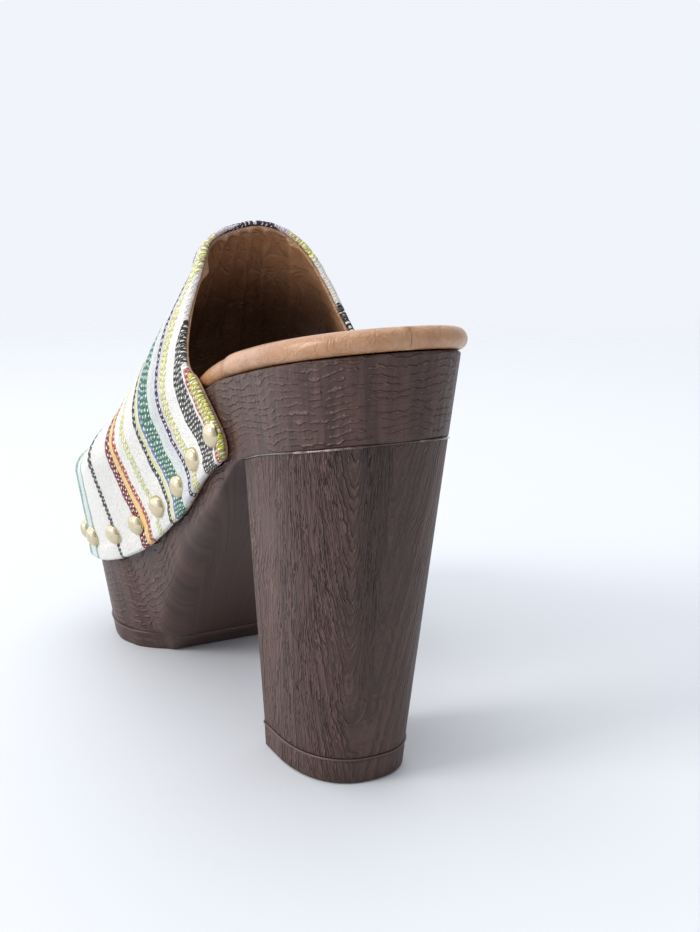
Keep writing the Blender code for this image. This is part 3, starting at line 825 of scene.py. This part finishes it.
def corner_inset(x):
    """How far the platform's lower rear corners stand in, rounded in plan."""
    return ARCH_EDGE_ROUND * (1.0 - end_round(x - tread_place, CORNER_REACH, 1.6))


def arch_round(x):
    """Rounding of the lower edge: soft along the arch, tight at the heel seam and over the outsole."""
    start = smooth(0.246 * FOOT_LENGTH, 0.50 * FOOT_LENGTH, x)
    least = SOLE_EDGE_ROUND if x < tread_place else SHARP_ROUND
    return max(least, corner_inset(x) * start)


def tread_out(x):
    """How far the outsole stands out, pulled in at its rear corners."""
    return SHARP_ROUND - corner_inset(x)


tread_place = tread_start()


def sole_low(x):
    return outsole_top(x) + FIT_GAP if x >= tread_place else under_height(x)


sole_places = sorted(places(0.0, FOOT_LENGTH, 200) + [tread_place])
sole = sole_layer("sole_moulding", sole_places, sole_low, top_height, lambda x: 0.0, arch_round,
                  SOLE_EDGE_ROUND, 18)
dress(sole, sole_finish, "sole_wood_effect", "sole")

flat_place = next(x for x in places(tread_place, FOOT_LENGTH, 400) if under_height(x) <= WELD)
wedge_places = [mix(tread_place, flat_place, share / 8) for share in range(8)]
tread_places = wedge_places + places(flat_place, FOOT_LENGTH, 110)


def outsole_low(x):
    return outsole_top(x) - 0.0009 if x == tread_place else under_height(x)


def outsole_round(x):
    return OUTSOLE_EDGE_ROUND + 0.4 * corner_inset(x)


outsole = sole_layer("outsole_layer", tread_places, outsole_low, outsole_top, tread_out, outsole_round,
                     SHARP_ROUND, 5)
dress(outsole, rubber_finish, "sole_rubber", "outsole")


def d_outline(back, length, width):
    """Plan of the heel: rounded back, straight sides and a flat front, from outer to inner side."""
    half = width / 2
    front = back + length
    reach = min(HEEL_REACH, length * 0.75)
    found = [(front, half * share) for share in (0.0, 0.35, 0.70, 0.94)]
    found.append((front - 0.0007, half * 0.968))
    found += [(mix(front - 0.0015, back + reach, k / 7), half * mix(0.985, 1.0, k / 7)) for k in range(7)]
    for k in range(61):
        angle = math.pi * k / 60
        x = back + reach * (1.0 - math.sin(angle) ** (2.0 / HEEL_POWER))
        y = half * math.copysign(abs(math.cos(angle)) ** (2.0 / HEEL_POWER), math.cos(angle))
        found.append((x, y))
    mirrored = [(x, -y) for x, y in found[:12]][::-1]
    return found + mirrored


def seam_height(x):
    return under_height(x - BACK_LEAN * (1.0 - min(x / SEAT_REACH, 1.0)))


def heel_rings():
    """Outlines of the heel on the floor and at the seam."""
    foot = d_outline(HEEL_FOOT_BACK, HEEL_FOOT_LENGTH, HEEL_FOOT_WIDTH)
    head = d_outline(BACK_LEAN + SEAM_LIP, HEEL_TOP_LENGTH, 2 * (under_half(0.0) - SEAM_LIP))
    low = [Vector((x, y, 0.0)) for x, y in foot]
    high = [Vector((x, y, seam_height(x) - FIT_GAP)) for x, y in head]
    return low, high


def heel_ring(height, inset, head_share=None):
    """Ring of the heel at a height above the floor, or at a share of its own height, stood back."""
    low, high = heel_rings()
    ring = []
    for a, b in zip(low, high):
        share = head_share if head_share is not None else height / b.z
        ring.append(a.lerp(b, share))
    middle = sum(ring, Vector()) / len(ring)
    stood = []
    for point in ring:
        away = Vector((point.x - middle.x, point.y - middle.y, 0.0)).normalized()
        stood.append(point - away * inset)
    return stood


def heel_block(name, rings):
    """Skin of level rings, with the girth and height as its UV map and closed ends."""
    rows, uvs, reliefs = [], [], []
    low, _ = heel_rings()
    girth = runs_along(low)
    middle = len(girth) // 2
    for ring, depth in rings:
        rows.append(ring)
        uvs.append([((run - girth[middle]) * HEEL_FLARE, point.z) for run, point in zip(girth, ring)])
        reliefs.append([depth] * len(ring))
    return grid_piece(name, rows, uvs, reliefs)


def capped(rings):
    """Add a shrunken middle to the first and last ring, so that the ends are closed."""
    closed = []
    for (ring, _), shares in ((rings[0], (0.0, 0.5)), (rings[-1], (0.5, 0.0))):
        centre = sum(ring, Vector()) / len(ring)
        closed.append([([centre.lerp(point, share) for point in ring], 0.0) for share in shares])
    return closed[0] + rings + closed[1]


# Each ring of a block comes with its share of the grain's relief, which fades out at the ends.
heel_start = TOP_PIECE_THICKNESS + FIT_GAP
low_ring = heel_ring(heel_start + 0.0005, 0.0)
high_ring = heel_ring(0.0, 0.0, 1.0)
heel_levels = [(heel_ring(heel_start, 0.0002), 0.0), (heel_ring(heel_start + 0.00015, 0.0001), 0.2)]
for level in range(61):
    heel_levels.append(([a.lerp(b, level / 60) for a, b in zip(low_ring, high_ring)], 1.0))
heel = heel_block("heel_block", capped(heel_levels))
dress(heel, heel_finish, "heel_wood_effect", "heel")

top_piece_levels = [
    (heel_ring(0.0, 0.0007), 0.0),
    (heel_ring(0.0002, 0.0003), 0.2),
    (heel_ring(0.0007, -0.0002), 1.0),
    (heel_ring(TOP_PIECE_THICKNESS * 0.5, -0.0002), 1.0),
    (heel_ring(TOP_PIECE_THICKNESS - 0.0008, -0.0001), 0.6),
    (heel_ring(TOP_PIECE_THICKNESS - 0.0003, 0.0), 0.2),
    (heel_ring(TOP_PIECE_THICKNESS, 0.0002), 0.0),
]
top_piece = heel_block("heel_wear_piece", capped(top_piece_levels))
dress(top_piece, heel_finish, "heel_wood_effect", "heel_top_piece")


# Footbed

def footbed_overhang(x):
    covered = smooth(COLLAR_CORNER - CORNER_ROUND, COLLAR_CORNER + CORNER_ROUND, x)
    return mix(FOOTBED_OVERHANG, -FIT_GAP, covered)


def footbed_mesh():
    """Padded insole: rolled edge, dished middle and soft unevenness of the leather."""
    edge_steps, across = 14, 22
    xs = places(0.0, FOOT_LENGTH, 190)
    rows, uvs = [], []
    for x in xs:
        base = top_height(x) + FIT_GAP
        radius = FOOTBED_THICKNESS / 2
        flanks = {}
        for side in (1, -1):
            edge, out = top_edge(x, side), side_out(x, side)
            points = []
            for k in range(edge_steps + 1):
                angle = mix(-math.pi / 2, math.pi / 2, k / edge_steps)
                swell = footbed_overhang(x) - radius + radius * math.cos(angle)
                point = edge + out * swell
                point.z = base + radius + radius * math.sin(angle)
                lump = noise.noise(point * 90.0) * 0.00022 + noise.noise(point * 240.0) * 0.00008
                points.append(point + out * (lump * max(math.cos(angle), 0.0)))
            flanks[side] = points
        outer, inner = flanks[1], flanks[-1]
        ring = list(outer)
        for k in range(1, across):
            point = outer[-1].lerp(inner[-1], k / across)
            point.z -= FOOTBED_DISH * ends_share(x) * math.sin(math.pi * k / across)
            ring.append(point)
        ring += inner[::-1]
        ring.append(outer[0])
        rows.append(ring)
        uvs.append([(point.x, point.y) for point in ring])
    return grid_piece("footbed_cover", rows, uvs, sharp=80.0)


footbed = footbed_mesh()
dress(footbed, tan_finish, "tan_leather", "footbed")


# Upper

def hem_height(x):
    return top_height(x) - upper_value("hem", x) * SEAT_DEPTH


def shoulder_height(x):
    return top_height(x) + upper_value("shoulder", x) * TOE_BOX_HEIGHT


def arch_point(x, angle):
    """Inside of the upper over the foot, from its outer shoulder (0) to its inner shoulder (pi)."""
    side = 1 if angle <= math.pi / 2 else -1
    turn = angle if side == 1 else math.pi - angle
    b = turn / (math.pi / 2)
    a = 1.0 - b
    outer = side_point(x, 1, shoulder_height(x), FIT_GAP)
    inner = side_point(x, -1, shoulder_height(x), FIT_GAP)
    crest = (outer + inner) / 2
    crest.y -= upper_value("lean", x) * BALL_WIDTH
    crest.z = top_height(x) + mix(TOE_BOX_HEIGHT, INSTEP_HEIGHT, upper_value("crest", x))
    start = outer if side == 1 else inner
    upward = (start - side_point(x, side, top_height(x), FIT_GAP)).normalized()
    side_pull, crown_pull = upper_value("side_pull", x), upper_value("crown_pull", x)
    if side == -1:
        side_pull += upper_value("inner_full", x)
    first = start + upward * ((crest.z - start.z) * side_pull)
    second = crest.lerp(Vector((start.x, start.y, crest.z)), crown_pull)
    point = start * a ** 3 + first * 3 * a * a * b + second * 3 * a * b * b + crest * b ** 3
    if side == 1:
        point.y += upper_value("outer_full", x) * BALL_WIDTH * crown_swell(b)
    return point


def crown_swell(share):
    """Soft hump over the outer half of the crown, from none at mid arch to none at its crest."""
    reach = min(max((share - 0.55) / 0.45, 0.0), 1.0)
    return math.sin(math.pi * reach) ** 2


def corner_cut(from_edge):
    return CORNER_ROUND * (1.0 - end_round(from_edge, 0.075, 2.0))


def collar_place(from_edge):
    lift = math.sin(from_edge * math.pi) ** 1.5
    return mix(COLLAR_CORNER, COLLAR_CREST, lift) + corner_cut(from_edge)


def toe_edge_place(from_edge):
    lift = math.sin(from_edge * math.pi) ** 1.2
    return mix(TOE_EDGE_CORNER, TOE_EDGE_CREST, lift) - corner_cut(from_edge)


def from_hem(around):
    """Share of the girth between a place round the upper and the nearer lower edge."""
    return min(around, 1.0 - around)


def upper_point(along, around):
    """Inside of the upper. along runs from collar (0) to toe edge (1), around from the outer lower
    edge (0) over the foot to the inner lower edge (1)."""
    from_edge = from_hem(around)
    x = mix(collar_place(from_edge), toe_edge_place(from_edge), along)
    if from_edge >= SIDE_SHARE:
        return arch_point(x, math.pi * (around - SIDE_SHARE) / (1.0 - 2 * SIDE_SHARE))
    side = 1 if around < 0.5 else -1
    height = mix(hem_height(x), shoulder_height(x), from_edge / SIDE_SHARE)
    return side_point(x, side, height, FIT_GAP)


def stripe_start(x, from_edge):
    """Where the stripe through this point starts on the lower edge."""
    rise = broken_line(STRIPE_RISE, from_edge)
    low, high = search(lambda start: start + broken_line(STRIPE_DRIFT, start) * rise < x, 0.0, 0.26, 26)
    return (low + high) / 2


EDGE_RUN = (0.0, 0.0001, 0.0003, 0.0006, 0.0009, 0.0013, 0.0018, 0.0024, 0.0031, 0.0040, 0.0050, 0.0060,
            0.0070)


def spread_over(length, trim, count):
    """Distances across a sheet, fine along both trimmed edges."""
    near = [trim + run for run in EDGE_RUN]
    far = [length - distance for distance in near[::-1]]
    inner = [mix(near[-1], far[0], k / count) for k in range(1, count)]
    return near + inner + far


def upper_sheet(name, trim, low, thickness, along_count, around_count, unevenness):
    """Closed sheet with rounded edges. It lies low metres above the inside of the upper's form and its
    edges stand back by trim. unevenness gives each face (1 outside, -1 inside) an extra height."""
    arounds = [distance / UPPER_GIRTH for distance in spread_over(UPPER_GIRTH, trim, around_count)]
    base, spots = [], []
    for around in arounds:
        from_edge = from_hem(around)
        length = (toe_edge_place(from_edge) - collar_place(from_edge)) * SLOPE_STRETCH
        distances = spread_over(length, trim, along_count)
        base.append([upper_point(distance / length, around) for distance in distances])
        spots.append([(around, min(distance, length - distance)) for distance in distances])
    count_i, count_j = len(base), len(base[0])
    crest_row = count_i // 2
    runs = [runs_along([line[j] for line in base]) for j in range(count_j)]
    rows, uvs, reliefs = [], [], []
    for i in range(count_i):
        uv_row, unshaded_share_row, faces = [], [], {1: [], -1: []}
        for j in range(count_j):
            across = base[min(i + 1, count_i - 1)][j] - base[max(i - 1, 0)][j]
            along = base[i][min(j + 1, count_j - 1)] - base[i][max(j - 1, 0)]
            out = across.cross(along).normalized()
            point = base[i][j]
            around, from_end = spots[i][j]
            edge = min(from_end, from_hem(around) * UPPER_GIRTH) - trim
            for face in (1, -1):
                offset = low + thickness / 2 + face * rounded_wall(edge, thickness)
                faces[face].append(point + out * (offset + unevenness(point, edge, face)))
            from_crest = runs[j][i] - runs[j][crest_row]
            uv_row.append((stripe_start(point.x, from_hem(around)), from_crest))
            # Share left free of painted shade: 1 at the edges, falling to 0 from 28 mm in; the lining
            # darkens by it.
            unshaded_share_row.append(1.0 - smooth(0.003, 0.028, edge))
        rows.append(closed_ring(faces[1], faces[-1]))
        uvs.append(closed_ring(uv_row, uv_row))
        reliefs.append(closed_ring(unshaded_share_row, unshaded_share_row))
    return grid_piece(name, rows, uvs, reliefs, sharp=70.0)


def closed_ring(there, back):
    return there + back[::-1] + [there[0]]


def rounded_wall(edge, thickness):
    """Half thickness of a rounded wall at a distance from its edge."""
    radius = thickness / 2
    inset = max(0.0, radius - edge)
    return math.sqrt(max(radius ** 2 - inset ** 2, 0.0))


def cloth_waves(point, edge, face):
    """Slight unevenness of the woven cloth, most at its edges, and the turned-in edge outside."""
    near_edge = 1.0 - smooth(0.001, 0.010, edge)
    waves = noise.noise(point * 160.0) * 0.00018 + noise.noise(point * 420.0) * 0.00022 * near_edge
    if face == -1:
        return waves
    return waves + TURNED_EDGE_RISE * smooth(0.0, 0.0012, edge) * (1.0 - smooth(0.0045, 0.0070, edge))


def lining_folds(point, edge, face):
    """Folds pressed into the lining: long ones from the crest, short ones along the collar's edge."""
    if face == 1:
        return 0.0
    long_folds = 0.0
    for place_y, place_x, slant, width, depth in LINING_FOLDS:
        on = point.x - place_x
        reach = smooth(-0.004, 0.003, on) * (1.0 - smooth(0.020, 0.040, on))
        off = point.y - place_y - slant * on
        long_folds += depth * reach * math.exp(-(off / width) ** 2)
    near_edge = smooth(0.0005, 0.003, edge) * (1.0 - smooth(0.006, 0.016, edge))
    crumple = noise.noise(Vector((point.x * 60.0, point.y * 420.0, point.z * 300.0)))
    return crumple * 0.00035 * near_edge - long_folds


cloth = upper_sheet("upper_cloth", 0.0, LINING_THICKNESS, UPPER_WALL - LINING_THICKNESS, 100, 190,
                    cloth_waves)
dress(cloth, cloth_finish, "striped_cloth", "upper")
lining = upper_sheet("upper_lining", 0.0007, 0.0, LINING_THICKNESS, 80, 150, lining_folds)
dress(lining, lining_finish, "tan_leather", "upper")


# Thin ridges: glue along the heel seam, and the moulded lines over top piece and outsole

def geometry_group(name, sizes):
    """Empty geometry tree that takes a scaffold, some sizes and a finish."""
    inputs = [("Geometry", GEOMETRY), *((label, FLOAT) for label in sizes), ("Finish", MATERIAL)]
    return new_group(name, "GeometryNodeTree", inputs, [("Geometry", GEOMETRY)])


def hand_out(tree, shape, given, out):
    """Make the shape real, smooth and painted, and hand it out."""
    solid = out_of(tree, "GeometryNodeRealizeInstances", {0: shape})
    smooth_faces = out_of(tree, "GeometryNodeSetShadeSmooth", {0: solid})
    painted = out_of(tree, "GeometryNodeSetMaterial", {0: smooth_faces, "Material": given["Finish"]})
    feed(out[0], painted)
    return tree


def bead_tree():
    """Geometry nodes: an uneven round bead along the scaffold's edges."""
    tree, given, out = geometry_group("bead along a path", ("Thickness", "Unevenness", "Lump Length"))
    path = out_of(tree, "GeometryNodeMeshToCurve", {"Mesh": given["Geometry"]})
    lumps = out_of(tree, "ShaderNodeTexNoise", {"Scale": 1.0 / given["Lump Length"], "Detail": 2.0}, "Fac")
    radius = ((lumps - 0.5) * given["Unevenness"] + 1.0) * given["Thickness"] * 0.5
    ring = out_of(tree, "GeometryNodeCurvePrimitiveCircle", {"Resolution": 8, "Radius": 1.0})
    bead = out_of(tree, "GeometryNodeCurveToMesh", {"Curve": path, "Profile Curve": ring, "Scale": radius})
    return hand_out(tree, bead, given, out)


def run_tree(name, scaffold, tree, inputs):
    """Apply a tree to a scaffold mesh and return the result as a plain, welded piece."""
    holder = add_object(name + "_path", scaffold)
    modifier = holder.modifiers.new("tree", "NODES")
    modifier.node_group = tree
    for item in tree.interface.items_tree:
        if item.in_out == "INPUT" and item.name in inputs:
            modifier[item.identifier] = inputs[item.name]
    graph = bpy.context.evaluated_depsgraph_get()
    mesh = bpy.data.meshes.new_from_object(holder.evaluated_get(graph))
    bpy.data.objects.remove(holder, do_unlink=True)
    bm = bmesh.new()
    bm.from_mesh(mesh)
    bpy.data.meshes.remove(mesh)
    return finished_mesh(name, bm, weld=0.00001)


def bead_along(name, points, thickness, unevenness, lump_length, finish, slot):
    """Closed bead along a ring of points."""
    scaffold = bpy.data.meshes.new(name)
    edges = [(k, (k + 1) % len(points)) for k in range(len(points))]
    scaffold.from_pydata([point + TO_FRAME for point in points], edges, [])
    sizes = {"Thickness": thickness, "Unevenness": unevenness, "Lump Length": lump_length}
    bead = run_tree(name, scaffold, beads, {**sizes, "Finish": finish})
    dress(bead, finish, slot)


beads = bead_tree()
seam_ring = [point + Vector((0.0, 0.0, FIT_GAP)) for point in heel_ring(0.0, -0.0003, 1.0)]
bead_along("heel_seam_glue", seam_ring, 0.0006, 1.8, 0.006, glue_finish, "sole_rubber")
line_ring = heel_ring(TOP_PIECE_THICKNESS + FIT_GAP / 2, -0.0001)
bead_along("heel_moulded_line", line_ring, 0.0007, 0.7, 0.008, line_finish, "heel_wood_effect")


def outsole_line():
    """Ring of points along the top of the outsole."""
    xs = tread_places
    outer = [side_point(x, 1, outsole_top(x) + FIT_GAP / 2, tread_out(x)) for x in xs]
    inner = [side_point(x, -1, outsole_top(x) + FIT_GAP / 2, tread_out(x)) for x in xs]
    rear = [inner[0].lerp(outer[0], k / 12) for k in range(1, 12)]
    return outer + inner[-2::-1] + rear


bead_along("outsole_moulded_line", outsole_line(), 0.0007, 0.7, 0.008, line_finish, "sole_rubber")


# Studs

def stud_seat(x, side):
    """Point and outward direction on the outside of the upper where a stud sits."""
    height = hem_height(x) + STUD_ABOVE_EDGE
    step = 0.002
    point = side_point(x, side, height, FIT_GAP)
    along = side_point(x + step, side, height, FIT_GAP) - side_point(x - step, side, height, FIT_GAP)
    up = side_point(x, side, height + step, FIT_GAP) - point
    out = along.cross(up).normalized()
    if out.y * side < 0.0:
        out.negate()
    return point + out * (UPPER_WALL - 0.0001), out


def stud_places():
    """Even spacing along the lower edge of the upper."""
    samples = 200
    xs = [mix(STUD_FIRST, STUD_LAST, k / samples) for k in range(samples + 1)]
    run = runs_along([stud_seat(x, 1)[0] for x in xs])
    found = []
    for n in range(STUDS_EACH_SIDE):
        goal = run[-1] * n / (STUDS_EACH_SIDE - 1)
        found.append(min(zip(run, xs), key=lambda pair: abs(pair[0] - goal))[1])
    return found


def stud_tree():
    """Geometry nodes: a domed head on every point, turned to the point's "outward" direction."""
    tree, given, out = geometry_group("studs on points", ("Diameter", "Height"))
    ball = out_of(tree, "GeometryNodeMeshUVSphere", {"Segments": 32, "Rings": 24, "Radius": 1.0}, "Mesh")
    x, y, z = apart(out_of(tree, "GeometryNodeInputPosition"))
    radius = given["Diameter"] * 0.5
    dome = maths("POWER", maths("MAXIMUM", z, 0.0), 0.85)
    shaped = together(x * radius, y * radius, dome * given["Height"])
    head = out_of(tree, "GeometryNodeSetPosition", {0: ball, "Position": shaped})
    outward = out_of(tree, "GeometryNodeInputNamedAttribute", {"Name": "outward"}, "Attribute",
                     data_type="FLOAT_VECTOR")
    turn = out_of(tree, "FunctionNodeAlignRotationToVector", {"Vector": outward}, axis="Z")
    spots = out_of(tree, "GeometryNodeMeshToPoints", {"Mesh": given["Geometry"]})
    heads = out_of(tree, "GeometryNodeInstanceOnPoints", {"Points": spots, "Instance": head,
                                                          "Rotation": turn})
    return hand_out(tree, heads, given, out)


def stud_row(label, side):
    seats = [stud_seat(x, side) for x in stud_places()]
    scaffold = bpy.data.meshes.new("stud seats")
    scaffold.from_pydata([point + TO_FRAME for point, _ in seats], [], [])
    outward = scaffold.attributes.new("outward", "FLOAT_VECTOR", "POINT")
    for k, (_, out) in enumerate(seats):
        outward.data[k].vector = out
    inputs = {"Diameter": STUD_DIAMETER, "Height": STUD_HEIGHT, "Finish": gold_finish}
    row = run_tree(f"studs_{label}", scaffold, studs, inputs)
    nodes = [f"stud_{label}_{n}" for n in range(1, STUDS_EACH_SIDE + 1)]
    dress(row, gold_finish, "pale_gold", *nodes)


studs = stud_tree()
stud_row("outer", 1)
stud_row("inner", -1)


# Camera, floor and light

CAMERA_PLACE = Vector((-0.28299, 0.16509, 0.17133)) + TO_FRAME
CAMERA_HEADING = math.radians(27.5734)
CAMERA_DROP = math.radians(12.3515)
PHOTO_HEIGHT = 932
FOCAL_PIXELS = 1249.97
SENSOR = 36.0

FLOOR_TONE = (0.695, 0.710, 0.735)
FLOOR_FADE = (0.45, 1.5)   # where the floor starts to fade and where it has gone, from the shoe
LIT_POINT = Vector((0.0, 0.0, 0.08))
AIR = (0.880, 0.905, 0.960)
DARK_SIDE = 0.54           # strength of the air's light from the right of the camera
BRIGHT_SIDE = 1.62         # and from its left

ahead = Vector((math.cos(CAMERA_HEADING), -math.sin(CAMERA_HEADING), 0.0))
leftward = Vector((math.sin(CAMERA_HEADING), math.cos(CAMERA_HEADING), 0.0))
up = Vector((0.0, 0.0, 1.0))
brightest = ahead * 0.42 + leftward * 0.90


def set_camera():
    data = bpy.data.cameras.new("camera")
    data.sensor_width = SENSOR
    data.sensor_fit = "AUTO"
    data.lens = SENSOR * FOCAL_PIXELS / PHOTO_HEIGHT
    data.clip_start = 0.01
    camera = add_object("camera", data)
    looking = ahead * math.cos(CAMERA_DROP) - up * math.sin(CAMERA_DROP)
    camera.rotation_euler = looking.to_track_quat("-Z", "Y").to_euler()
    camera.location = CAMERA_PLACE
    bpy.context.scene.camera = camera


def set_floor():
    """Round pale floor whose rim fades into the studio air."""
    bm = bmesh.new()
    bmesh.ops.create_circle(bm, cap_ends=True, segments=96, radius=FLOOR_FADE[1])
    mesh = bpy.data.meshes.new("studio_floor")
    bm.to_mesh(mesh)
    bm.free()
    made, tree = new_material("pale studio paper")
    distance = out_of(tree, "ShaderNodeVectorMath", {0: object_vector(tree)}, "Value", operation="LENGTH")
    fade = step_down(distance, *FLOOR_FADE)
    finished(made, Base_Color=FLOOR_TONE, Roughness=0.65, Alpha=fade, Specular_IOR_Level=0.2)
    mesh.materials.append(made)
    add_object("studio_floor", mesh)


def area_light(name, place, size, power, colour):
    data = bpy.data.lights.new(name, "AREA")
    data.shape = "SQUARE"
    data.size = size
    data.energy = power
    data.color = colour
    light = add_object(name, data)
    light.location = place
    light.rotation_euler = (LIT_POINT - place).to_track_quat("-Z", "Y").to_euler()


def set_light():
    area_light("window", leftward * 2.3 - ahead * 0.95 + up * 1.5, 1.1, 42.0, (1.0, 0.985, 0.96))
    area_light("ceiling", up * 1.6 + ahead * 0.3, 1.6, 9.0, (0.98, 0.99, 1.0))
    world = bpy.data.worlds.new("studio air")
    world.use_nodes = True
    tree = world.node_tree
    directions = {0: out_of(tree, "ShaderNodeTexCoord", output="Generated"), 1: brightest}
    facing = out_of(tree, "ShaderNodeVectorMath", directions, "Value", operation="DOT_PRODUCT")
    dim, bright = (tuple(tone * strength for tone in AIR) for strength in (DARK_SIDE, BRIGHT_SIDE))
    air = blend(step_up(facing, -0.60, 0.80), dim, bright)
    seen = out_of(tree, "ShaderNodeLightPath", output="Is Camera Ray")
    feed(tree.nodes["Background"].inputs["Color"], blend(seen, air, AIR))
    bpy.context.scene.world = world
    bpy.context.scene.view_settings.view_transform = "Standard"


set_camera()
set_floor()
set_light()
